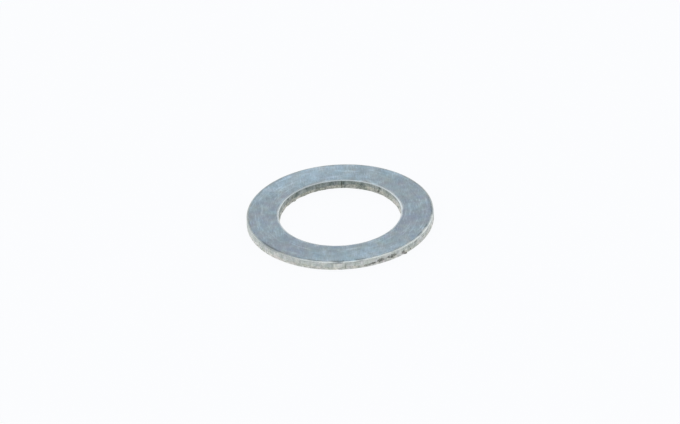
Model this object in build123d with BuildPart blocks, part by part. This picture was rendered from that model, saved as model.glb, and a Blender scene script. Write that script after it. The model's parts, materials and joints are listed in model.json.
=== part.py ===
from build123d import *
import os

# Flat washer, blanked and pierced from steel strip in one press stroke, then tumbled and zinc plated.
# It is one piece and lies on its underside. +Z is its axis, and the origin is the centre of the underside.
#
# The punch and the blanking die both cut from the top face down, so the outside wall and the hole's wall
# have the same section, one the mirror of the other about the middle of the ring:
#   a die roll, where the strip was drawn over before it was cut,
#   a burnished land, sheared clean to the tool's own size,
#   a torn zone, where the steel broke away and the wall leans back into the ring,
#   a broken edge along the underside, where tumbling took off the burr.
# All sizes are in millimetres.

outside_diameter = 32.0
hole_diameter = 21.0
thickness = 1.5

die_roll_width = 0.45  # how far the rolled edge runs in over the top face
die_roll_depth = 0.18  # how far it runs down the wall
torn_height = 0.55  # from the underside up to the foot of the burnished land
torn_lean = 0.05  # how far the torn wall has leant back where it meets the underside
edge_break = 0.06  # radius left by tumbling along the underside

outside_radius = outside_diameter / 2
hole_radius = hole_diameter / 2
middle_radius = (outside_radius + hole_radius) / 2
land_top = thickness - die_roll_depth

with BuildPart() as flat_washer:
    with BuildSketch(Plane.XZ) as section:
        with BuildLine():
            torn_wall = Line((outside_radius - torn_lean, 0), (outside_radius, torn_height))
            Line(torn_wall @ 1, (outside_radius, land_top))  # the burnished land
            die_roll = EllipticalCenterArc(
                (outside_radius - die_roll_width, land_top), die_roll_width, die_roll_depth, arc_size=90
            )
            mirror(about=Plane.YZ.offset(middle_radius))  # the hole's wall
            Line(die_roll @ 1, (hole_radius + die_roll_width, thickness))  # the top face
            Line(torn_wall @ 0, (hole_radius + torn_lean, 0))  # the underside
        make_face()
        fillet(section.vertices().group_by(Axis.Y)[0], radius=edge_break)
    revolve(axis=Axis.Z)

flat_washer.part.label = "flat_washer"

os.makedirs("parts", exist_ok=True)
export_step(flat_washer.part, "parts/flat_washer.step")
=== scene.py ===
import json
import math

import bmesh
import bpy
from mathutils import Matrix, Vector


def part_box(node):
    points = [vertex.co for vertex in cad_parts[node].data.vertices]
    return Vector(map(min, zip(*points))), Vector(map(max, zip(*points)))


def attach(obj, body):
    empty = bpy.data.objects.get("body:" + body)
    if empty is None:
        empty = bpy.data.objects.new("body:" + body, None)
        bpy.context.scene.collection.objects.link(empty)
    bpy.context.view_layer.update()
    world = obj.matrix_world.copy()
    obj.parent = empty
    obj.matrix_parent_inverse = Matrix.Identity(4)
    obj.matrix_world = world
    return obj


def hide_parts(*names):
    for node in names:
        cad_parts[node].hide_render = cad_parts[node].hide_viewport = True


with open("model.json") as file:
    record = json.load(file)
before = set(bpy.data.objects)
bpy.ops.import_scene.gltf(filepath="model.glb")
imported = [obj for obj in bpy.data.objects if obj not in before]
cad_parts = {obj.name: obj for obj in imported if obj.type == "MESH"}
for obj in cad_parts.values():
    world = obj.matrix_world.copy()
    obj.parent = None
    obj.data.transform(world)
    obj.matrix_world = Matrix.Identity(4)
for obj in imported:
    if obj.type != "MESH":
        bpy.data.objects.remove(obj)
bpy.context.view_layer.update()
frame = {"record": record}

# --- The washer ------------------------------------------------------------------------------------
# One ring of steel strip, 1.5 mm thick, pierced and blanked in a single press stroke and then tumbled.
# The tools cut from the top face down, so each cut wall has a rolled top edge, a burnished land, a torn
# zone under it where the steel broke away, and an underside edge that tumbling has rounded.

MM = 0.001  # the frame is in metres

low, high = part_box("flat_washer")
outside_radius = high.x
thickness = high.z - low.z
bore = next(mount for mount in frame["record"]["mounts"] if mount["name"] == "bore")
hole_radius = bore["dims"]["r_mm"] * MM

roll_width = 0.45 * MM
roll_depth = 0.18 * MM
torn_height = 0.55 * MM
torn_lean = 0.05 * MM
edge_break = 0.06 * MM
wall_fade = (0.07 * MM, 0.20 * MM)  # how far in from a cut wall the surface is all wall, and none of it

steps_round = 900  # a step of 0.11 mm along the outside wall
roll_rows = 10
land_rows = 13
torn_rows = 19
break_rows = 4
face_rows = 7


def add(tree, kind, feeds=None, **settings):
    """Adds a node to a tree, sets it up, and feeds its inputs with values or with other nodes' outputs."""
    node = tree.nodes.new(kind)
    for name, value in settings.items():
        setattr(node, name, value)
    for key, source in (feeds or {}).items():
        if isinstance(key, str):
            target = next(s for s in node.inputs if s.name == key and s.enabled)
        else:
            target = [s for s in node.inputs if s.enabled][key]
        if isinstance(source, bpy.types.Node):
            source = next(s for s in source.outputs if s.enabled)
        if isinstance(source, bpy.types.NodeSocket):
            tree.links.new(source, target)
        else:
            target.default_value = source
    return node


# The marks of this one stroke, and the places on its rolled edge where shade is painted. Each has the place
# it is on, its angle from +X in degrees, its height over the underside, half its length along the wall, half
# its height, how deep it bites into the steel, and how far it darkens the plating, from 0 to 1. Lengths are
# in millimetres. A bite below 0 is a burr that stands out. A mark on the roll is painted shade and bites
# nothing.
press_marks = (
    ("outside", -75.5, 0.34, 0.60, 0.12, 0.040, 1.0),
    ("outside", -71.0, 0.44, 0.90, 0.20, 0.060, 1.0),
    ("outside", -66.2, 0.68, 0.95, 0.36, 0.080, 1.0),
    ("outside", -60.6, 0.74, 0.50, 0.30, 0.050, 1.0),
    ("outside", -57.6, 0.70, 1.05, 0.44, 0.090, 1.0),
    ("outside", -49.6, 0.52, 0.45, 0.38, 0.060, 1.0),
    ("outside", -48.0, 0.16, 0.40, 0.24, -0.200, 1.0),
    ("outside", -43.6, 0.40, 0.26, 0.16, 0.030, 0.8),
    ("outside", -44.5, 0.92, 0.20, 0.14, 0.030, 0.7),
    ("outside", -73.4, 0.38, 0.50, 0.15, 0.040, 1.0),
    ("outside", -38.5, 1.02, 0.60, 0.16, 0.020, 0.7),
    ("outside", -34.5, 0.56, 0.40, 0.16, 0.030, 0.6),
    ("outside", -29.5, 0.84, 0.55, 0.16, 0.020, 0.75),
    ("outside", -24.0, 1.08, 0.45, 0.14, 0.020, 0.6),
    ("outside", -88.3, 0.80, 0.20, 0.70, 0.020, 0.6),
    ("outside", -117.0, 0.95, 0.18, 0.40, 0.020, 0.45),
    # The marks on the roll are painted shade along the rolled edge.
    ("roll", -169.0, 1.50, 1.80, 0.60, 0.0, 0.35),
    ("roll", -141.0, 1.50, 3.20, 0.60, 0.0, 0.8),
    ("roll", -108.0, 1.50, 1.60, 0.60, 0.0, 0.55),
    ("roll", -92.0, 1.50, 1.70, 0.60, 0.0, 1.0),
    ("roll", -79.0, 1.50, 1.10, 0.60, 0.0, 0.8),
    ("roll", -31.5, 1.50, 1.00, 0.60, 0.0, 0.8),
    ("roll", -21.5, 1.50, 0.80, 0.60, 0.0, 0.8),
    ("roll", -3.0, 1.50, 1.80, 0.60, 0.0, 0.8),
    ("roll", 152.0, 1.50, 3.00, 0.60, 0.0, 0.4),
    ("hole", 87.0, 0.75, 0.16, 0.95, 0.070, 1.0),
    ("hole", 140.0, 0.72, 0.45, 0.34, 0.040, 0.7),
    ("hole", 138.0, 0.05, 0.40, 0.22, -0.180, 0.3),
    ("hole", 111.0, 0.60, 0.22, 0.30, 0.050, 0.9),
    ("hole", 49.5, 0.42, 0.30, 0.24, 0.040, 1.0),
    ("hole", 48.0, 1.12, 0.40, 0.14, 0.030, 0.8),
    ("hole", 150.0, 0.60, 0.20, 0.40, 0.040, 0.7),
)

roll_shade_inset = 0.4 * MM  # from the rim in to the middle of the roll
mark_radius = {"outside": outside_radius, "roll": outside_radius - roll_shade_inset, "hole": hole_radius}
mark_points = []
reaches = []
bites = []
stains = []
roll_shade_flags = []
for place_on, angle, level, half_length, half_height, bite, stain in press_marks:
    across_x = math.cos(math.radians(angle)) * mark_radius[place_on]
    across_y = math.sin(math.radians(angle)) * mark_radius[place_on]
    mark_points.append((across_x, across_y, level * MM))
    reaches.extend((half_length * MM, half_length * MM, half_height * MM))
    bites.append(bite * MM)
    stains.append(stain)
    roll_shade_flags.append(1.0 if place_on == "roll" else 0.0)
marks = bpy.data.meshes.new("press_marks")
marks.from_pydata(mark_points, [], [])
marks.attributes.new("reach", "FLOAT_VECTOR", "POINT").data.foreach_set("vector", reaches)
marks.attributes.new("bite", "FLOAT", "POINT").data.foreach_set("value", bites)
marks.attributes.new("stain", "FLOAT", "POINT").data.foreach_set("value", stains)
marks.attributes.new("on_the_roll", "FLOAT", "POINT").data.foreach_set("value", roll_shade_flags)

# The tree that makes the ring, with an input for each of its sizes and one seed for its noises.
ring_tree = bpy.data.node_groups.new("blanked_ring", "GeometryNodeTree")
ring_tree.interface.new_socket(name="Ring", in_out="OUTPUT", socket_type="NodeSocketGeometry")
ring_tree.interface.new_socket(name="Press marks", in_out="INPUT", socket_type="NodeSocketGeometry")
ring_sizes = {
    "Outside radius": ("NodeSocketFloat", outside_radius),
    "Hole radius": ("NodeSocketFloat", hole_radius),
    "Thickness": ("NodeSocketFloat", thickness),
    "Roll width": ("NodeSocketFloat", roll_width),
    "Roll depth": ("NodeSocketFloat", roll_depth),
    "Torn height": ("NodeSocketFloat", torn_height),
    "Torn lean": ("NodeSocketFloat", torn_lean),
    "Edge break": ("NodeSocketFloat", edge_break),
    "Steps round": ("NodeSocketInt", steps_round),
    "Torn wander": ("NodeSocketFloat", 0.30 * MM),
    "Torn skew": ("NodeSocketFloat", 0.30 * MM),
    "Torn relief": ("NodeSocketFloat", 0.09 * MM),
    "Hole lip": ("NodeSocketFloat", 0.22 * MM),
    "Rim lip": ("NodeSocketFloat", 0.07 * MM),
    "Drag line relief": ("NodeSocketFloat", 0.022 * MM),
    "Roll sag": ("NodeSocketFloat", 0.05 * MM),
    "Seed": ("NodeSocketInt", 7),
}
ring_inputs = {
    name: ring_tree.interface.new_socket(name=name, in_out="INPUT", socket_type=kind)
    for name, (kind, value) in ring_sizes.items()
}
plating_input = ring_tree.interface.new_socket(
    name="Plating", in_out="INPUT", socket_type="NodeSocketMaterial"
)
given = add(ring_tree, "NodeGroupInput").outputs

# The section of the hole's wall, x into the steel and y down from the top face.
land_foot_depth = add(
    ring_tree, "ShaderNodeMath", {0: given["Thickness"], 1: given["Torn height"]}, operation="SUBTRACT"
)
break_depth = add(
    ring_tree, "ShaderNodeMath", {0: given["Thickness"], 1: given["Edge break"]}, operation="SUBTRACT"
)
flat_inset = add(
    ring_tree, "ShaderNodeMath", {0: given["Torn lean"], 1: given["Edge break"]}, operation="ADD"
)
roll_start = add(ring_tree, "ShaderNodeCombineXYZ", {"X": given["Roll width"]})
land_top = add(ring_tree, "ShaderNodeCombineXYZ", {"Y": given["Roll depth"]})
land_foot = add(ring_tree, "ShaderNodeCombineXYZ", {"Y": land_foot_depth})
torn_foot = add(ring_tree, "ShaderNodeCombineXYZ", {"X": given["Torn lean"], "Y": break_depth})
lower_corner = add(ring_tree, "ShaderNodeCombineXYZ", {"X": given["Torn lean"], "Y": given["Thickness"]})
flat_start = add(ring_tree, "ShaderNodeCombineXYZ", {"X": flat_inset, "Y": given["Thickness"]})

die_roll = add(
    ring_tree,
    "GeometryNodeCurveQuadraticBezier",
    {"Resolution": roll_rows, "Start": roll_start, "Middle": (0, 0, 0), "End": land_top},
)
edge_round = add(
    ring_tree,
    "GeometryNodeCurveQuadraticBezier",
    {"Resolution": break_rows, "Start": torn_foot, "Middle": lower_corner, "End": flat_start},
)
land = add(ring_tree, "GeometryNodeCurvePrimitiveLine", {"Start": land_top, "End": land_foot})
land = add(ring_tree, "GeometryNodeResampleCurve", {"Curve": land, "Count": land_rows + 1})
torn_zone = add(ring_tree, "GeometryNodeCurvePrimitiveLine", {"Start": land_foot, "End": torn_foot})
torn_zone = add(ring_tree, "GeometryNodeResampleCurve", {"Curve": torn_zone, "Count": torn_rows + 1})
hole_wall = add(ring_tree, "GeometryNodeJoinGeometry")
for band in (edge_round, torn_zone, land, die_roll):
    ring_tree.links.new(band.outputs[0], hole_wall.inputs[0])

# The outside wall is its mirror image, and the two flat faces join them.
ring_width = add(
    ring_tree, "ShaderNodeMath", {0: given["Outside radius"], 1: given["Hole radius"]}, operation="SUBTRACT"
)
across = add(ring_tree, "ShaderNodeCombineXYZ", {"X": ring_width})
mirrored = (-1.0, 1.0, 1.0)
outside_wall = add(
    ring_tree,
    "GeometryNodeTransform",
    {"Geometry": hole_wall, "Translation": across, "Scale": mirrored},
)
section = add(ring_tree, "GeometryNodeJoinGeometry", {"Geometry": hole_wall})
ring_tree.links.new(outside_wall.outputs[0], section.inputs[0])
for edge in (roll_start, flat_start):
    far_edge = add(
        ring_tree, "ShaderNodeVectorMath", {0: edge, 1: mirrored, 2: across}, operation="MULTIPLY_ADD"
    )
    face = add(ring_tree, "GeometryNodeCurvePrimitiveLine", {"Start": edge, "End": far_edge})
    face = add(ring_tree, "GeometryNodeResampleCurve", {"Curve": face, "Count": face_rows + 1})
    ring_tree.links.new(face.outputs[0], section.inputs[0])

hole_circle = add(
    ring_tree,
    "GeometryNodeCurvePrimitiveCircle",
    {"Resolution": given["Steps round"], "Radius": given["Hole radius"]},
)
lift = add(ring_tree, "ShaderNodeCombineXYZ", {"Z": given["Thickness"]})
hole_circle = add(ring_tree, "GeometryNodeTransform", {"Geometry": hole_circle, "Translation": lift})
swept = add(ring_tree, "GeometryNodeCurveToMesh", {"Curve": hole_circle, "Profile Curve": section})
seam_gap = 0.002 * MM  # points of the section that meet are joined within this
swept = add(ring_tree, "GeometryNodeMergeByDistance", {"Geometry": swept, "Distance": seam_gap})

# Where a point is: its height, its spoke, the side of the ring it is on and how far the wall is from it.
place = add(ring_tree, "GeometryNodeInputPosition")
place_parts = add(ring_tree, "ShaderNodeSeparateXYZ", {"Vector": place})
height = place_parts.outputs["Z"]
flat_place = add(ring_tree, "ShaderNodeVectorMath", {0: place, 1: (1, 1, 0)}, operation="MULTIPLY")
radius = add(ring_tree, "ShaderNodeVectorMath", {0: flat_place}, operation="LENGTH")
spoke = add(ring_tree, "ShaderNodeVectorMath", {0: flat_place}, operation="NORMALIZE")
radii_sum = add(
    ring_tree, "ShaderNodeMath", {0: given["Outside radius"], 1: given["Hole radius"]}, operation="ADD"
)
middle = add(ring_tree, "ShaderNodeMath", {0: radii_sum, 1: 0.5}, operation="MULTIPLY")
half_width = add(ring_tree, "ShaderNodeMath", {0: ring_width, 1: 0.5}, operation="MULTIPLY")
from_middle = add(ring_tree, "ShaderNodeMath", {0: radius, 1: middle}, operation="SUBTRACT")
side = add(ring_tree, "ShaderNodeMath", {0: from_middle}, operation="SIGN")
middle_distance = add(ring_tree, "ShaderNodeMath", {0: from_middle}, operation="ABSOLUTE")
inset = add(ring_tree, "ShaderNodeMath", {0: half_width, 1: middle_distance}, operation="SUBTRACT")
outward = add(ring_tree, "ShaderNodeVectorMath", {0: spoke, "Scale": side}, operation="SCALE")
on_wall = add(
    ring_tree,
    "ShaderNodeMapRange",
    {"Value": inset, "From Min": wall_fade[0], "From Max": wall_fade[1], "To Min": 1.0, "To Max": 0.0},
    interpolation_type="SMOOTHSTEP",
)

# The tear runs along the wall at a wandering height, and the steel under it is coarse and leans back.
noise_mean = 0.5  # taken off a noise, so that it swings both ways
noise_grey = (noise_mean, noise_mean, noise_mean)
wander_length = 2.6 * MM
torn_wander = add(
    ring_tree,
    "ShaderNodeTexNoise",
    {"Vector": flat_place, "W": given["Seed"], "Scale": 1 / wander_length, "Detail": 4.0, "Roughness": 0.6},
    noise_dimensions="4D",
)
torn_shift = add(ring_tree, "ShaderNodeMath", {0: torn_wander, 1: noise_mean}, operation="SUBTRACT")
torn_top = add(
    ring_tree,
    "ShaderNodeMath",
    {0: torn_shift, 1: given["Torn wander"], 2: given["Torn height"]},
    operation="MULTIPLY_ADD",
)
# The punch sat a little off centre in its die. Where the gap between them was wide, the tear starts higher up
# the hole's wall, by up to the skew. Where it was narrow, the tear starts lower, by a smaller share of it.
in_hole = add(ring_tree, "ShaderNodeMath", {0: from_middle, 1: 0.0}, operation="LESS_THAN")
wide_way = math.radians(10)
narrow_side_share = -0.4
wide_side = add(
    ring_tree,
    "ShaderNodeVectorMath",
    {0: spoke, 1: (math.cos(wide_way), math.sin(wide_way), 0)},
    operation="DOT_PRODUCT",
).outputs["Value"]
wide_side = add(ring_tree, "ShaderNodeMath", {0: wide_side, 1: in_hole}, operation="MULTIPLY")
wide_side = add(ring_tree, "ShaderNodeMath", {0: wide_side, 1: narrow_side_share}, operation="MAXIMUM")
torn_top = add(
    ring_tree,
    "ShaderNodeMath",
    {0: wide_side, 1: given["Torn skew"], 2: torn_top},
    operation="MULTIPLY_ADD",
)
tear_edge = 0.04 * MM
over_tear = add(ring_tree, "ShaderNodeMath", {0: height, 1: torn_top}, operation="SUBTRACT")
under_tear = add(
    ring_tree,
    "ShaderNodeMapRange",
    {"Value": over_tear, "From Min": -tear_edge, "From Max": tear_edge, "To Min": 1.0, "To Max": 0.0},
    interpolation_type="SMOOTHSTEP",
)
torn = add(ring_tree, "ShaderNodeMath", {0: under_tear, 1: on_wall}, operation="MULTIPLY")
crumb_size = 0.34 * MM
crumble = add(
    ring_tree,
    "ShaderNodeTexNoise",
    {"Vector": place, "W": given["Seed"], "Scale": 1 / crumb_size, "Detail": 3.0, "Roughness": 0.6},
    noise_dimensions="4D",
)
crumble = add(ring_tree, "ShaderNodeMath", {0: crumble, 1: noise_mean}, operation="SUBTRACT")
torn_bite = add(ring_tree, "ShaderNodeMath", {0: crumble, 1: given["Torn relief"]}, operation="MULTIPLY")
torn_bite = add(ring_tree, "ShaderNodeMath", {0: torn_bite, 1: torn}, operation="MULTIPLY")

# The tear ends in a thin ragged lip, which stands well into the hole and barely out from the rim.
lip_fade = (0.15 * MM, 0.60 * MM)
lip_tooth = 1.3 * MM
lip = add(
    ring_tree,
    "ShaderNodeMapRange",
    {"Value": inset, "From Min": lip_fade[0], "From Max": lip_fade[1], "To Min": 1.0, "To Max": 0.0},
    interpolation_type="SMOOTHSTEP",
)
lip_reach = add(
    ring_tree,
    "ShaderNodeMapRange",
    {"Value": height, "From Min": 0.0, "From Max": torn_top, "To Min": 1.0, "To Max": 0.0},
)
lip_noise = add(
    ring_tree,
    "ShaderNodeTexNoise",
    {"Vector": flat_place, "W": given["Seed"], "Scale": 1 / lip_tooth, "Detail": 3.0},
    noise_dimensions="4D",
)
lip_noise = add(
    ring_tree,
    "ShaderNodeMapRange",
    {"Value": lip_noise, "From Min": 0.3, "From Max": 0.7, "To Min": 0.7, "To Max": 1.3},
)
lip_size = add(
    ring_tree,
    "ShaderNodeMix",
    {"Factor": in_hole, "A": given["Rim lip"], "B": given["Hole lip"]},
    data_type="FLOAT",
)
for part in (lip_reach, lip_noise, lip_size):
    lip = add(ring_tree, "ShaderNodeMath", {0: lip, 1: part}, operation="MULTIPLY")

# The tools drag upright lines down the land, finer in truth than the 0.42 mm drawn here.
drag_gap = 0.42 * MM
drag = add(
    ring_tree,
    "ShaderNodeTexNoise",
    {"Vector": flat_place, "W": given["Seed"], "Scale": 1 / drag_gap, "Detail": 2.0},
    noise_dimensions="4D",
)
drag = add(ring_tree, "ShaderNodeMath", {0: drag, 1: noise_mean}, operation="SUBTRACT")
drag_bite = add(ring_tree, "ShaderNodeMath", {0: drag, 1: given["Drag line relief"]}, operation="MULTIPLY")
drag_bite = add(ring_tree, "ShaderNodeMath", {0: drag_bite, 1: on_wall}, operation="MULTIPLY")

# Each press mark bites into the wall, or stands out of it, within its own reach and with a ragged edge.
ragged_grain = 0.25 * MM
ragged_shift = (0.5 * MM, 0.5 * MM, 0.5 * MM)
mark_fade = (0.45, 1.1)  # the parts of its reach at which a mark is whole, and gone
ragged = add(
    ring_tree,
    "ShaderNodeTexNoise",
    {"Vector": place, "W": given["Seed"], "Scale": 1 / ragged_grain, "Detail": 2.0},
    noise_dimensions="4D",
)
ragged = add(
    ring_tree,
    "ShaderNodeVectorMath",
    {0: ragged.outputs["Color"], 1: noise_grey},
    operation="SUBTRACT",
)
ragged_place = add(
    ring_tree, "ShaderNodeVectorMath", {0: ragged, 1: ragged_shift, 2: place}, operation="MULTIPLY_ADD"
)
nearest = add(
    ring_tree,
    "GeometryNodeSampleNearest",
    {"Geometry": given["Press marks"], "Sample Position": ragged_place},
)
mark_place = add(
    ring_tree,
    "GeometryNodeSampleIndex",
    {"Geometry": given["Press marks"], "Value": place, "Index": nearest},
    data_type="FLOAT_VECTOR",
)
mark_kinds = {"reach": "FLOAT_VECTOR", "bite": "FLOAT", "on_the_roll": "FLOAT", "stain": "FLOAT"}
mark_has = {}
for name, kind in mark_kinds.items():
    field = add(ring_tree, "GeometryNodeInputNamedAttribute", {"Name": name}, data_type=kind)
    mark_has[name] = add(
        ring_tree,
        "GeometryNodeSampleIndex",
        {"Geometry": given["Press marks"], "Value": field, "Index": nearest},
        data_type=kind,
    )
from_mark = add(ring_tree, "ShaderNodeVectorMath", {0: ragged_place, 1: mark_place}, operation="SUBTRACT")
from_mark = add(ring_tree, "ShaderNodeVectorMath", {0: from_mark, 1: mark_has["reach"]}, operation="DIVIDE")
from_mark = add(ring_tree, "ShaderNodeVectorMath", {0: from_mark}, operation="LENGTH")
near_mark = add(
    ring_tree,
    "ShaderNodeMapRange",
    {"Value": from_mark, "From Min": mark_fade[0], "From Max": mark_fade[1], "To Min": 1.0, "To Max": 0.0},
    interpolation_type="SMOOTHSTEP",
)
# The marks on the roll are painted shade, kept apart from the dents here.
roll_shade = add(ring_tree, "ShaderNodeMath", {0: near_mark, 1: mark_has["on_the_roll"]}, operation="MULTIPLY")
dent = add(ring_tree, "ShaderNodeMath", {0: near_mark, 1: roll_shade}, operation="SUBTRACT")
dent = add(ring_tree, "ShaderNodeMath", {0: dent, 1: on_wall}, operation="MULTIPLY")
mark_bite = add(ring_tree, "ShaderNodeMath", {0: dent, 1: mark_has["bite"]}, operation="MULTIPLY")
bruise = add(ring_tree, "ShaderNodeMath", {0: dent, 1: mark_has["stain"]}, operation="MULTIPLY")
roll_shade = add(ring_tree, "ShaderNodeMath", {0: roll_shade, 1: mark_has["stain"]}, operation="MULTIPLY")

# The strip was drawn over by uneven amounts before it was cut, so the rolled edges sag here and there.
sag_fade = (0.10 * MM, 0.40 * MM)
sag_length = 1.1 * MM
on_roll = add(
    ring_tree,
    "ShaderNodeMapRange",
    {"Value": inset, "From Min": sag_fade[0], "From Max": sag_fade[1], "To Min": 1.0, "To Max": 0.0},
    interpolation_type="SMOOTHSTEP",
)
half_thickness = add(ring_tree, "ShaderNodeMath", {0: given["Thickness"], 1: 0.5}, operation="MULTIPLY")
upper_share = add(
    ring_tree,
    "ShaderNodeMapRange",
    {"Value": height, "From Min": half_thickness, "From Max": given["Thickness"]},
)
sag = add(
    ring_tree,
    "ShaderNodeTexNoise",
    {"Vector": flat_place, "W": given["Seed"], "Scale": 1 / sag_length, "Detail": 3.0},
    noise_dimensions="4D",
)
for part in (on_roll, upper_share, given["Roll sag"], -1.0):
    sag = add(ring_tree, "ShaderNodeMath", {0: sag, 1: part}, operation="MULTIPLY")
sag = add(ring_tree, "ShaderNodeCombineXYZ", {"Z": sag})

# All of this moves a point in or out along its spoke, and the sag moves it down.
bite_sum = add(ring_tree, "ShaderNodeMath", {0: torn_bite, 1: drag_bite}, operation="ADD")
bite_sum = add(ring_tree, "ShaderNodeMath", {0: bite_sum, 1: mark_bite}, operation="ADD")
bite_sum = add(ring_tree, "ShaderNodeMath", {0: bite_sum, 1: lip}, operation="SUBTRACT")
bite_sum = add(ring_tree, "ShaderNodeMath", {0: bite_sum, 1: -1.0}, operation="MULTIPLY")
pushed = add(ring_tree, "ShaderNodeVectorMath", {0: outward, "Scale": bite_sum}, operation="SCALE")
pushed = add(ring_tree, "ShaderNodeVectorMath", {0: pushed, 1: sag}, operation="ADD")

# What the plating has to know about each point is stored before the points are moved. The wall's own finish
# fades out over the steep lower half of the roll.
land_start = add(
    ring_tree, "ShaderNodeMath", {0: given["Thickness"], 1: given["Roll depth"]}, operation="SUBTRACT"
)
steep_part = -0.5  # down from the top face, as a part of the roll's depth
steep_roll = add(
    ring_tree,
    "ShaderNodeMath",
    {0: given["Roll depth"], 1: steep_part, 2: given["Thickness"]},
    operation="MULTIPLY_ADD",
)
under_roll = add(
    ring_tree,
    "ShaderNodeMapRange",
    {"Value": height, "From Min": land_start, "From Max": steep_roll, "To Min": 1.0, "To Max": 0.0},
)
wall = add(ring_tree, "ShaderNodeMath", {0: on_wall, 1: under_roll}, operation="MULTIPLY")
roll_fade = (0.12 * MM, 0.46 * MM)
rub_length = 1.8 * MM
rub_stray = 1.1 * MM  # the rubbed roll ends nearer the wall here and further in there
roll_wander = add(
    ring_tree,
    "ShaderNodeTexNoise",
    {"Vector": flat_place, "W": given["Seed"], "Scale": 1 / rub_length, "Detail": 4.0, "Roughness": 0.6},
    noise_dimensions="4D",
)
roll_wander = add(ring_tree, "ShaderNodeMath", {0: roll_wander, 1: noise_mean}, operation="SUBTRACT")
roll_inset = add(
    ring_tree, "ShaderNodeMath", {0: roll_wander, 1: rub_stray, 2: inset}, operation="MULTIPLY_ADD"
)
roll = add(
    ring_tree,
    "ShaderNodeMapRange",
    {"Value": roll_inset, "From Min": roll_fade[0], "From Max": roll_fade[1], "To Min": 1.0, "To Max": 0.0},
    interpolation_type="SMOOTHSTEP",
)
roll = add(ring_tree, "ShaderNodeMath", {0: roll, 1: upper_share}, operation="MULTIPLY")
point_values = {
    "wall": wall,
    "roll": roll,
    "torn": torn,
    "in_hole": in_hole,
    "bruise": bruise,
    "roll_shade": roll_shade,
    "inset": inset,
}
marked = swept
for name, value in point_values.items():
    marked = add(
        ring_tree,
        "GeometryNodeStoreNamedAttribute",
        {"Geometry": marked, "Name": name, "Value": value},
        data_type="FLOAT",
        domain="POINT",
    )
marked = add(ring_tree, "GeometryNodeSetPosition", {"Geometry": marked, "Offset": pushed})
marked = add(ring_tree, "GeometryNodeSetShadeSmooth", {"Geometry": marked})
marked = add(ring_tree, "GeometryNodeRealizeInstances", {"Geometry": marked})
marked = add(ring_tree, "GeometryNodeSetMaterial", {"Geometry": marked, "Material": given["Plating"]})
add(ring_tree, "NodeGroupOutput", {"Ring": marked})


def linear(hex_colour):
    """An sRGB hex colour as linear RGBA."""
    shares = [int(hex_colour[i : i + 2], 16) / 255 for i in (1, 3, 5)]
    return tuple(s / 12.92 if s <= 0.04045 else ((s + 0.055) / 1.055) ** 2.4 for s in shares) + (1.0,)


# Bright zinc under a blue passivate, put on in a barrel after tumbling. It is satin and blue-grey on the flat
# faces with painted sheen, bright on the rubbed rolled edges and brighter with painted highlight on one side
# of the rim's, pale on the outside wall, and dull with painted shade on one side of the hole.
zinc = bpy.data.materials.new("blue_passivated_zinc_plate")
zinc.use_nodes = True
zinc.node_tree.nodes.clear()
shade = zinc.node_tree

share = {}
for name in point_values:
    share[name] = add(shade, "ShaderNodeAttribute", attribute_name=name).outputs["Fac"]
spot = add(shade, "ShaderNodeTexCoord").outputs["Object"]

# The passivate film gives the blue, and it drifts to violet where it is thin. A painted sheen brightens it
# toward both ends of one diameter, and more toward the far end.
# The way of the painted sheen's diameter, and how strong the sheen is.
sheen_way = math.radians(107)
far_end_sheen_gain = 0.35
sheen_gain = 0.25
film_seed = 209.0
film_drift_size = 6.0 * MM
film_patch_size = 1.2 * MM
film_patch_share = 0.58
across_sheen = add(
    shade,
    "ShaderNodeVectorMath",
    {0: spot, 1: (math.cos(sheen_way) / outside_radius, math.sin(sheen_way) / outside_radius, 0)},
    operation="DOT_PRODUCT",
).outputs["Value"]
sheen_ends = add(shade, "ShaderNodeMath", {0: across_sheen, 1: across_sheen}, operation="MULTIPLY")
sheen_ends = add(shade, "ShaderNodeMath", {0: sheen_ends, 1: sheen_ends}, operation="MULTIPLY")
sheen_ends = add(
    shade, "ShaderNodeMath", {0: across_sheen, 1: far_end_sheen_gain, 2: sheen_ends}, operation="MULTIPLY_ADD"
)
film_drift = add(
    shade,
    "ShaderNodeTexNoise",
    {"Vector": spot, "W": film_seed, "Scale": 1 / film_drift_size, "Detail": 2.0},
    noise_dimensions="4D",
)
film_patch = add(
    shade,
    "ShaderNodeTexNoise",
    {"Vector": spot, "Scale": 1 / film_patch_size, "Detail": 4.0, "Roughness": 0.7},
)
film_and_sheen = add(
    shade,
    "ShaderNodeMix",
    {"Factor": film_patch_share, "A": film_drift, "B": film_patch},
    data_type="FLOAT",
)
# The painted sheen is added to the film here, and the tints below follow both.
film_and_sheen = add(shade, "ShaderNodeMath", {0: sheen_ends, 1: sheen_gain, 2: film_and_sheen}, operation="MULTIPLY_ADD")
low_film_and_sheen = add(shade, "ShaderNodeMapRange", {"Value": film_and_sheen, "From Min": 0.413, "From Max": 0.567})
high_film_and_sheen = add(shade, "ShaderNodeMapRange", {"Value": film_and_sheen, "From Min": 0.552, "From Max": 0.757})
film_and_sheen_tint = add(
    shade,
    "ShaderNodeMix",
    {"Factor": low_film_and_sheen, "A": linear("#A7B4C3"), "B": linear("#AEC1CB")},
    data_type="RGBA",
)
film_and_sheen_tint = add(
    shade, "ShaderNodeMix", {"Factor": high_film_and_sheen, "A": film_and_sheen_tint, "B": linear("#BCD1E0")}, data_type="RGBA"
)

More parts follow.
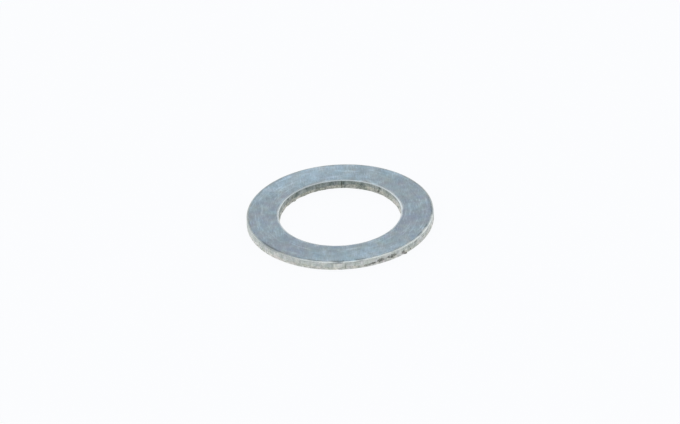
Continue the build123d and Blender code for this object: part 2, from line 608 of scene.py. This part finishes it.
# Its thickness varies from spot to spot, which stains it faintly every way, and from straw to blue.
film_spot_size = 1.8 * MM
stain_swing = (0.08, 0.03, 0.09)
blue_swing = (-0.10, 0.0, 0.12)
blue_seed = 5.0
film_spots = add(
    shade, "ShaderNodeTexNoise", {"Vector": spot, "Scale": 1 / film_spot_size, "Detail": 2.5}
).outputs["Color"]
film_spots = add(shade, "ShaderNodeVectorMath", {0: film_spots, 1: noise_grey}, operation="SUBTRACT")
film_and_sheen_tint = add(
    shade, "ShaderNodeVectorMath", {0: film_spots, 1: stain_swing, 2: film_and_sheen_tint}, operation="MULTIPLY_ADD"
)
film_blue = add(
    shade,
    "ShaderNodeTexNoise",
    {"Vector": spot, "W": blue_seed, "Scale": 1 / film_spot_size, "Detail": 2.5},
    noise_dimensions="4D",
)
film_blue = add(shade, "ShaderNodeMath", {0: film_blue, 1: noise_mean}, operation="SUBTRACT")
film_blue = add(shade, "ShaderNodeVectorMath", {0: blue_swing, "Scale": film_blue}, operation="SCALE")
film_and_sheen_tint = add(shade, "ShaderNodeVectorMath", {0: film_and_sheen_tint, 1: film_blue}, operation="ADD")

# Tumbling leaves a grain and short scratches every way, both far finer in truth than the widths drawn here.
grain_size = 0.2 * MM
scratch_width = 0.15 * MM
scratch_length = 1.7 * MM
scratch_turns = (12, 63, 101, 152)
grain = add(
    shade, "ShaderNodeTexNoise", {"Vector": spot, "Scale": 1 / grain_size, "Detail": 3.0, "Roughness": 0.7}
)
scratches = 0.0
for turn_degrees in scratch_turns:
    laid = add(
        shade,
        "ShaderNodeMapping",
        {
            "Vector": spot,
            "Rotation": (0, 0, math.radians(turn_degrees)),
            "Scale": (1 / scratch_width, 1 / scratch_length, 1 / scratch_length),
        },
    )
    scratch = add(shade, "ShaderNodeTexNoise", {"Vector": laid, "Scale": 1.0, "Detail": 1.0})
    scratch = add(shade, "ShaderNodeMapRange", {"Value": scratch, "From Min": 0.60, "From Max": 0.75})
    scratches = add(shade, "ShaderNodeMath", {0: scratches, 1: scratch}, operation="MAXIMUM")

# Washers that turned against each other in the barrel left faint arcs, also drawn wider here than they are.
arc_gap = 0.42 * MM
arc_cells = (3.2, 3.2, 3.2)  # to a radian, so that an arc is about 18 degrees long
spoke_way = add(shade, "ShaderNodeVectorMath", {0: spot, 1: (1, 1, 0)}, operation="MULTIPLY")
arc_radius = add(shade, "ShaderNodeVectorMath", {0: spoke_way}, operation="LENGTH").outputs["Value"]
arc_radius = add(shade, "ShaderNodeMath", {0: arc_radius, 1: 1 / arc_gap}, operation="MULTIPLY")
arc_lift = add(shade, "ShaderNodeCombineXYZ", {"Z": arc_radius})
spoke_way = add(shade, "ShaderNodeVectorMath", {0: spoke_way}, operation="NORMALIZE")
arc_place = add(
    shade, "ShaderNodeVectorMath", {0: spoke_way, 1: arc_cells, 2: arc_lift}, operation="MULTIPLY_ADD"
)
arcs = add(shade, "ShaderNodeTexNoise", {"Vector": arc_place, "Scale": 1.0, "Detail": 2.0})
arcs = add(shade, "ShaderNodeMapRange", {"Value": arcs, "From Min": 0.54, "From Max": 0.70})

# All of it lies over broad blotches, where the zinc itself came out lighter or darker.
blotch_size = 2.4 * MM
blotches = add(shade, "ShaderNodeTexNoise", {"Vector": spot, "Scale": 1 / blotch_size, "Detail": 3.0})
face_level = add(
    shade,
    "ShaderNodeMapRange",
    {"Value": grain, "From Min": 0.3, "From Max": 0.7, "To Min": 0.664, "To Max": 0.872},
)
for brighter, gain in ((blotches, 0.42), (scratches, 0.24), (arcs, 0.26)):
    face_level = add(shade, "ShaderNodeMath", {0: brighter, 1: gain, 2: face_level}, operation="MULTIPLY_ADD")
face_tint = add(shade, "ShaderNodeVectorMath", {0: film_and_sheen_tint, "Scale": face_level}, operation="SCALE")

# The rolled edges are rubbed bright in the barrel, and painted highlight brightens patches on one side of the
# rim's roll.
# The hole's roll and wall carry painted shade on one side of the hole, and painted light makes them nearly as
# pale as the rim's on the other.
# Painted highlight: the rim's roll is brightened in patches on the side toward this way.
highlight_way = math.radians(-62)
highlight_patch_size = 1.4 * MM
# The hole's side with painted shade lies this way.
hole_shade_way = math.radians(104)
highlight_side = add(
    shade,
    "ShaderNodeVectorMath",
    {0: spot, 1: (math.cos(highlight_way) / outside_radius, math.sin(highlight_way) / outside_radius, 0)},
    operation="DOT_PRODUCT",
).outputs["Value"]
highlight_side = add(shade, "ShaderNodeMapRange", {"Value": highlight_side, "From Min": 0.30, "From Max": 0.80})
rim_highlight_patches = add(
    shade, "ShaderNodeTexNoise", {"Vector": spot, "Scale": 1 / highlight_patch_size, "Detail": 3.0, "Roughness": 0.6}
)
rim_highlight_patches = add(shade, "ShaderNodeMapRange", {"Value": rim_highlight_patches, "From Min": 0.32, "From Max": 0.46})
rim_highlight_patches = add(shade, "ShaderNodeMath", {0: rim_highlight_patches, 1: highlight_side}, operation="MULTIPLY")
rim_tint = add(
    shade,
    "ShaderNodeMix",
    {"Factor": rim_highlight_patches, "A": linear("#AFB5B3"), "B": linear("#D0D6D4")},
    data_type="RGBA",
)
# Painted light and shade in the hole: a share of the rim's paler colours, most on the lit side, none on the
# shaded side.
hole_light = add(
    shade,
    "ShaderNodeVectorMath",
    {0: spot, 1: (math.cos(hole_shade_way) / hole_radius, math.sin(hole_shade_way) / hole_radius, 0)},
    operation="DOT_PRODUCT",
).outputs["Value"]
hole_light = add(
    shade,
    "ShaderNodeMapRange",
    {"Value": hole_light, "From Min": -0.10, "From Max": 0.97, "To Min": 0.84, "To Max": 0.0},
)
hole_roll = add(
    shade,
    "ShaderNodeMix",
    {"Factor": hole_light, "A": linear("#B2BABE"), "B": linear("#DCE4E7")},
    data_type="RGBA",
)
roll_tint = add(
    shade,
    "ShaderNodeMix",
    {"Factor": share["in_hole"], "A": rim_tint, "B": hole_roll},
    data_type="RGBA",
)

# Where the rim's roll begins, dashes of painted shade run along it, darkest at the painted shade marks on the
# roll.
# The colour of the painted shade on the rim's roll.
painted_shade_tint = linear("#6A757C")
dash_length = 1.7 * MM
dash_stray = 0.5 * MM
dash_inset = 0.10 * MM
dash_fade = (0.04 * MM, 0.26 * MM)
dash_run_length = 2.6 * MM
dash_run_seed = 3.0
dash_strength = 0.95
rim_way = add(shade, "ShaderNodeVectorMath", {0: spot, 1: (1, 1, 0)}, operation="MULTIPLY")
rim_way = add(shade, "ShaderNodeVectorMath", {0: rim_way}, operation="NORMALIZE")
dash_noise = add(
    shade,
    "ShaderNodeTexNoise",
    {"Vector": rim_way, "Scale": outside_radius / dash_length, "Detail": 3.0, "Roughness": 0.65},
)
dash_place = add(
    shade, "ShaderNodeMath", {0: dash_noise, 1: dash_stray, 2: dash_inset}, operation="MULTIPLY_ADD"
)
dash_off = add(shade, "ShaderNodeMath", {0: share["inset"], 1: dash_place}, operation="SUBTRACT")
dash_off = add(shade, "ShaderNodeMath", {0: dash_off}, operation="ABSOLUTE")
dash = add(
    shade,
    "ShaderNodeMapRange",
    {"Value": dash_off, "From Min": dash_fade[0], "From Max": dash_fade[1], "To Min": 1.0, "To Max": 0.0},
)
dash_run = add(
    shade,
    "ShaderNodeTexNoise",
    {"Vector": rim_way, "W": dash_run_seed, "Scale": outside_radius / dash_run_length, "Detail": 2.0},
    noise_dimensions="4D",
)
dash_run = add(
    shade,
    "ShaderNodeMapRange",
    {"Value": dash_run, "From Min": 0.50, "From Max": 0.62, "To Min": 0.0, "To Max": 0.35},
)
dash_run = add(shade, "ShaderNodeMath", {0: dash_run, 1: share["roll_shade"]}, operation="MAXIMUM")
dash_break = add(
    shade,
    "ShaderNodeMapRange",
    {"Value": grain, "From Min": 0.35, "From Max": 0.55, "To Min": 0.5, "To Max": 1.0},
)
dash_run = add(shade, "ShaderNodeMath", {0: dash_run, 1: dash_break}, operation="MULTIPLY")
rim_only = add(shade, "ShaderNodeMath", {0: 1.0, 1: share["in_hole"]}, operation="SUBTRACT")
for part in (dash_run, rim_only, dash_strength):
    dash = add(shade, "ShaderNodeMath", {0: dash, 1: part}, operation="MULTIPLY")

# Painted shade also dulls the corner where the roll meets the land, at the same marks.
corner_depth = 0.17 * MM
corner_fade = (0.05 * MM, 0.16 * MM)
corner_strength = 0.75
corner_off = add(shade, "ShaderNodeSeparateXYZ", {"Vector": spot}).outputs["Z"]
corner_off = add(
    shade, "ShaderNodeMath", {0: corner_off, 1: thickness - corner_depth}, operation="SUBTRACT"
)
corner_off = add(shade, "ShaderNodeMath", {0: corner_off}, operation="ABSOLUTE")
corner = add(
    shade,
    "ShaderNodeMapRange",
    {
        "Value": corner_off,
        "From Min": corner_fade[0],
        "From Max": corner_fade[1],
        "To Min": 1.0,
        "To Max": 0.0,
    },
)
corner_roll_shade = add(shade, "ShaderNodeMath", {0: share["roll_shade"], 1: share["roll_shade"]}, operation="MULTIPLY")
corner_roll_shade = add(shade, "ShaderNodeMath", {0: corner_roll_shade, 1: dash_break}, operation="MULTIPLY")
for part in (corner_roll_shade, rim_only, corner_strength):
    corner = add(shade, "ShaderNodeMath", {0: corner, 1: part}, operation="MULTIPLY")

# The tools drag upright streaks down the land, finer in truth than the 0.3 mm drawn here, and the plating is
# patchy over them.
streak_width = 0.30 * MM
streak_length = 1.6 * MM
patch_size = 1.1 * MM
land_patch_share = 0.6
streak_place = add(
    shade,
    "ShaderNodeMapping",
    {"Vector": spot, "Scale": (1 / streak_width, 1 / streak_width, 1 / streak_length)},
)
streaks = add(
    shade, "ShaderNodeTexNoise", {"Vector": streak_place, "Scale": 1.0, "Detail": 3.0, "Roughness": 0.6}
)
patches = add(
    shade, "ShaderNodeTexNoise", {"Vector": spot, "Scale": 1 / patch_size, "Detail": 4.0, "Roughness": 0.65}
)
patch_level = patches.outputs[0]
land_level = add(
    shade,
    "ShaderNodeMix",
    {"Factor": land_patch_share, "A": streaks, "B": patch_level},
    data_type="FLOAT",
)
land_level = add(shade, "ShaderNodeMapRange", {"Value": land_level, "From Min": 0.38, "From Max": 0.61})

# The torn steel is coarse, so its plating is dull, with dark pits in it.
pit_size = 0.32 * MM
torn_patch_share = 0.4
pits = add(
    shade, "ShaderNodeTexNoise", {"Vector": spot, "Scale": 1 / pit_size, "Detail": 4.0, "Roughness": 0.7}
)
torn_level = add(
    shade,
    "ShaderNodeMix",
    {"Factor": torn_patch_share, "A": pits, "B": patch_level},
    data_type="FLOAT",
)
torn_level = add(shade, "ShaderNodeMapRange", {"Value": torn_level, "From Min": 0.38, "From Max": 0.58})

# Each zone of the cut walls has the noise that it follows, its darkest and palest colours on the rim, and the
# same two on the hole's side with painted shade, where it is dull.
zone_colours = {
    "land": (land_level, "#A3A9A4", "#D5DAD8", "#59625F", "#97A19E"),
    "torn": (torn_level, "#A5A7A2", "#DDDFDB", "#787B73", "#C8CBC3"),
}
rim_zone = {}
hole_zone = {}
for zone, (level, rim_dark, rim_pale, shaded_hole_dark, shaded_hole_pale) in zone_colours.items():
    rim_zone[zone] = add(
        shade,
        "ShaderNodeMix",
        {"Factor": level, "A": linear(rim_dark), "B": linear(rim_pale)},
        data_type="RGBA",
    )
    shaded_hole_zone = add(
        shade,
        "ShaderNodeMix",
        {"Factor": level, "A": linear(shaded_hole_dark), "B": linear(shaded_hole_pale)},
        data_type="RGBA",
    )
    hole_zone[zone] = add(
        shade,
        "ShaderNodeMix",
        {"Factor": hole_light, "A": shaded_hole_zone, "B": rim_zone[zone]},
        data_type="RGBA",
    )

# Painted light makes the rim's torn zone a little paler toward -X than toward +X.
painted_side_light = add(shade, "ShaderNodeSeparateXYZ", {"Vector": spot}).outputs["X"]
painted_side_light = add(
    shade,
    "ShaderNodeMapRange",
    {
        "Value": painted_side_light,
        "From Min": -outside_radius,
        "From Max": outside_radius,
        "To Min": 1.09,
        "To Max": 0.95,
    },
)
rim_zone["torn"] = add(
    shade, "ShaderNodeVectorMath", {0: rim_zone["torn"], "Scale": painted_side_light}, operation="SCALE"
)
side_tint = {}
for zone in zone_colours:
    side_tint[zone] = add(
        shade,
        "ShaderNodeMix",
        {"Factor": share["in_hole"], "A": rim_zone[zone], "B": hole_zone[zone]},
        data_type="RGBA",
    )
wall_tint = add(
    shade,
    "ShaderNodeMix",
    {"Factor": share["torn"], "A": side_tint["land"], "B": side_tint["torn"]},
    data_type="RGBA",
)

# The patches of plating differ in hue as well, by a little each way.
hue_swing = (0.28, 0.15, 0.25)
untinted = (1.0, 1.0, 1.0)
wall_hue = add(
    shade, "ShaderNodeVectorMath", {0: patches.outputs["Color"], 1: noise_grey}, operation="SUBTRACT"
)
wall_hue = add(
    shade, "ShaderNodeVectorMath", {0: wall_hue, 1: hue_swing, 2: untinted}, operation="MULTIPLY_ADD"
)
wall_tint = add(shade, "ShaderNodeVectorMath", {0: wall_tint, 1: wall_hue}, operation="MULTIPLY")

# The colour of the flat faces, with the others laid over it in turn. The press marks are the darkest, and
# break up toward their edges.
bruise_edge = add(
    shade,
    "ShaderNodeMapRange",
    {"Value": pits, "From Min": 0.35, "From Max": 0.60, "To Min": 1.0, "To Max": 0.55},
)
bruise_strength = add(shade, "ShaderNodeMath", {0: share["bruise"], 1: bruise_edge}, operation="MULTIPLY")
tint = face_tint
for strength, colour in (
    (share["roll"], roll_tint),
    # The dashes and the dulled corner laid over here are painted shade.
    (dash, painted_shade_tint),
    (share["wall"], wall_tint),
    (corner, painted_shade_tint),
    (bruise_strength, linear("#4C4E47")),
):
    tint = add(shade, "ShaderNodeMix", {"Factor": strength, "A": tint, "B": colour}, data_type="RGBA")

# The flat faces are satin, the rubbed roll smoother, the land duller and the torn steel nearly matt.
roughness = 0.34
for zone, zone_roughness in (("roll", 0.24), ("wall", 0.46), ("torn", 0.66)):
    roughness = add(
        shade,
        "ShaderNodeMix",
        {"Factor": share[zone], "A": roughness, "B": zone_roughness},
        data_type="FLOAT",
    )

# Heights of the grain, the drag lines and the torn pits, in millimetres.
grain_height = 0.008
streak_height = 0.012
pit_height = 0.060
face_relief = add(shade, "ShaderNodeMath", {0: grain, 1: grain_height}, operation="MULTIPLY")
land_relief = add(shade, "ShaderNodeMath", {0: streaks, 1: streak_height}, operation="MULTIPLY")
torn_relief = add(shade, "ShaderNodeMath", {0: pits, 1: pit_height}, operation="MULTIPLY")
relief = add(
    shade, "ShaderNodeMix", {"Factor": share["wall"], "A": face_relief, "B": land_relief}, data_type="FLOAT"
)
relief = add(
    shade, "ShaderNodeMix", {"Factor": share["torn"], "A": relief, "B": torn_relief}, data_type="FLOAT"
)
bump = add(shade, "ShaderNodeBump", {"Strength": 1.0, "Distance": MM, "Height": relief})

metal = add(
    shade,
    "ShaderNodeBsdfPrincipled",
    {"Base Color": tint, "Metallic": 1.0, "Roughness": roughness, "Normal": bump},
)
add(shade, "ShaderNodeOutputMaterial", {"Surface": metal})

# The press marks go in as the tree's own mesh, and the plated ring comes out as a plain one.
washer = bpy.data.objects.new("flat_washer_plated", marks)
bpy.context.scene.collection.objects.link(washer)
press = washer.modifiers.new("press", "NODES")
press.node_group = ring_tree
for name, socket in ring_inputs.items():
    press[socket.identifier] = ring_sizes[name][1]
press[plating_input.identifier] = zinc
evaluated = washer.evaluated_get(bpy.context.evaluated_depsgraph_get())
ring_mesh = bpy.data.meshes.new_from_object(evaluated)
ring_mesh.name = "flat_washer_plated"
washer.modifiers.remove(press)
washer.data = ring_mesh
skin = bmesh.new()
skin.from_mesh(ring_mesh)
bmesh.ops.recalc_face_normals(skin, faces=skin.faces)
skin.to_mesh(ring_mesh)
skin.free()

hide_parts("flat_washer")
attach(washer, "root")

# --- The table -------------------------------------------------------------------------------------
# A sheet of white board lies flat under the washer, and the washer rests on it by its underside. It is cut
# far larger than the washer, so that no edge of it comes into sight.

table_reach = 3.0
table_drop = 0.02 * MM  # under the washer's underside, so that the two faces don't flicker
table_corners = ((-1, -1), (1, -1), (1, 1), (-1, 1))
table_mesh = bpy.data.meshes.new("table_top")
table_mesh.from_pydata(
    [(x * table_reach, y * table_reach, -table_drop) for x, y in table_corners],
    [],
    [(0, 1, 2, 3)],
)
table = bpy.data.objects.new("table_top", table_mesh)
bpy.context.scene.collection.objects.link(table)

# White board, pressed matt. It throws back a soft white light and no gloss, and it keeps a faint shadow
# under the washer. To the eye, and in the washer's shine, it glows almost as white as the tent over it.
glow_part = 0.94
paper = bpy.data.materials.new("white_matt_board")
paper.use_nodes = True
paper.node_tree.nodes.clear()
board = paper.node_tree
ray = add(board, "ShaderNodeLightPath")
seen = add(
    board,
    "ShaderNodeMath",
    {0: ray.outputs["Is Camera Ray"], 1: ray.outputs["Is Glossy Ray"]},
    operation="MAXIMUM",
)
seen = add(board, "ShaderNodeMath", {0: seen, 1: ray.outputs["Is Transmission Ray"]}, operation="MAXIMUM")
glow_share = add(board, "ShaderNodeMath", {0: seen, 1: glow_part}, operation="MULTIPLY")
matt = add(board, "ShaderNodeBsdfDiffuse", {"Color": linear("#F0F0F0")})
glow = add(board, "ShaderNodeEmission", {"Color": linear("#FCFDFF"), "Strength": 1.0})
board_surface = add(board, "ShaderNodeMixShader", {0: glow_share, 1: matt, 2: glow})
add(board, "ShaderNodeOutputMaterial", {"Surface": board_surface})
table_mesh.materials.append(paper)

# --- The light -------------------------------------------------------------------------------------
# The washer lies in a white cloth tent. The cloth is palest low down, glows where a lamp stands behind it,
# at the left, the right and overhead, and is darker in front. Two weak soft boxes light it from the front.

# Each panel of the tent has the way it lies in, how near that way its glow begins, as a cosine, and how much
# light it adds at its middle. The front one takes light away.
tent_panels = (
    ((-0.86, 0.42, 0.28), 0.55, 0.66),
    ((0.86, 0.42, 0.28), 0.55, 0.68),
    ((0.0, -0.97, 0.24), 0.60, -0.30),
    ((0.0, -0.05, 1.0), 0.72, 0.64),
)
world = bpy.data.worlds.new("light_tent")
bpy.context.scene.world = world
world.use_nodes = True
world.node_tree.nodes.clear()
tent = world.node_tree
ray = add(tent, "ShaderNodeLightPath")
way = add(tent, "ShaderNodeTexCoord").outputs["Generated"]
way_parts = add(tent, "ShaderNodeSeparateXYZ", {"Vector": way})
tent_level = add(
    tent,
    "ShaderNodeMapRange",
    {"Value": way_parts.outputs["Z"], "From Min": 0.0, "From Max": 0.70, "To Min": 0.82, "To Max": 0.56},
    interpolation_type="SMOOTHSTEP",
)
for panel_way, glow_start, gain in tent_panels:
    toward = add(tent, "ShaderNodeVectorMath", {0: way, 1: panel_way}, operation="DOT_PRODUCT")
    toward = add(
        tent,
        "ShaderNodeMapRange",
        {
            "Value": toward.outputs["Value"],
            "From Min": glow_start,
            "From Max": 1.0,
            "To Min": 0.0,
            "To Max": gain,
        },
        interpolation_type="SMOOTHSTEP",
    )
    tent_level = add(tent, "ShaderNodeMath", {0: tent_level, 1: toward}, operation="ADD")

# The cloth lights the washer as it glows, and seen past the washer it is an even white.
tent_light = add(tent, "ShaderNodeBackground", {"Color": linear("#FFFFFF"), "Strength": tent_level})
tent_seen = add(tent, "ShaderNodeBackground", {"Color": linear("#FCFCFE"), "Strength": 1.0})
tent_surface = add(
    tent, "ShaderNodeMixShader", {0: ray.outputs["Is Camera Ray"], 1: tent_light, 2: tent_seen}
)
add(tent, "ShaderNodeOutputWorld", {"Surface": tent_surface})

# Each soft box is square and looks at the washer. It has its name, its turn to the right of the front in
# degrees, its degrees over the table, and its watts.
box_size = 1.0
box_distance = 1.2
for name, right_turn, rise, watts in (
    ("front_left_soft_box", -35, 42, 1.5),
    ("front_right_soft_box", 40, 40, 1.0),
):
    lamp = bpy.data.lights.new(name, "AREA")
    lamp.shape = "SQUARE"
    lamp.size = box_size
    lamp.energy = watts
    soft_box = bpy.data.objects.new(name, lamp)
    turned = math.radians(right_turn)
    risen = math.radians(rise)
    away = Vector((math.sin(turned) * math.cos(risen), -math.cos(turned) * math.cos(risen), math.sin(risen)))
    soft_box.location = away * box_distance
    soft_box.rotation_euler = away.to_track_quat("Z", "Y").to_euler()
    bpy.context.scene.collection.objects.link(soft_box)

# --- The camera ------------------------------------------------------------------------------------
# A camera with a long lens looks down at the washer from the front, from a metre away. It is tipped a few
# degrees to one side, and aims at the middle of the top face. Angles are in degrees and lengths in metres.

camera_elevation = 31.69
camera_roll = 3.01
camera_distance = 1.027
aim_right = 0.02 * MM
aim_rise = 0.07 * MM  # over the top face
picture_width = 680
focal_pixels = 6010  # the lens's length over the width of a pixel
sensor_width = 36.0  # in millimetres, as the lens is
sight_end = 20.0

camera_data = bpy.data.cameras.new("camera")
camera_data.sensor_width = sensor_width
camera_data.clip_end = sight_end
camera_data.lens = focal_pixels * camera_data.sensor_width / picture_width
camera = bpy.data.objects.new("camera", camera_data)
bpy.context.scene.collection.objects.link(camera)
slope = math.radians(camera_elevation)
back = Vector((0.0, -math.cos(slope), math.sin(slope)))
turn = back.to_track_quat("Z", "Y").to_matrix() @ Matrix.Rotation(math.radians(-camera_roll), 3, "Z")
camera.rotation_euler = turn.to_euler()
aim = Vector((aim_right, 0.0, thickness + aim_rise))
camera.location = aim + back * camera_distance
bpy.context.scene.camera = camera

bpy.context.scene.view_settings.view_transform = "Standard"
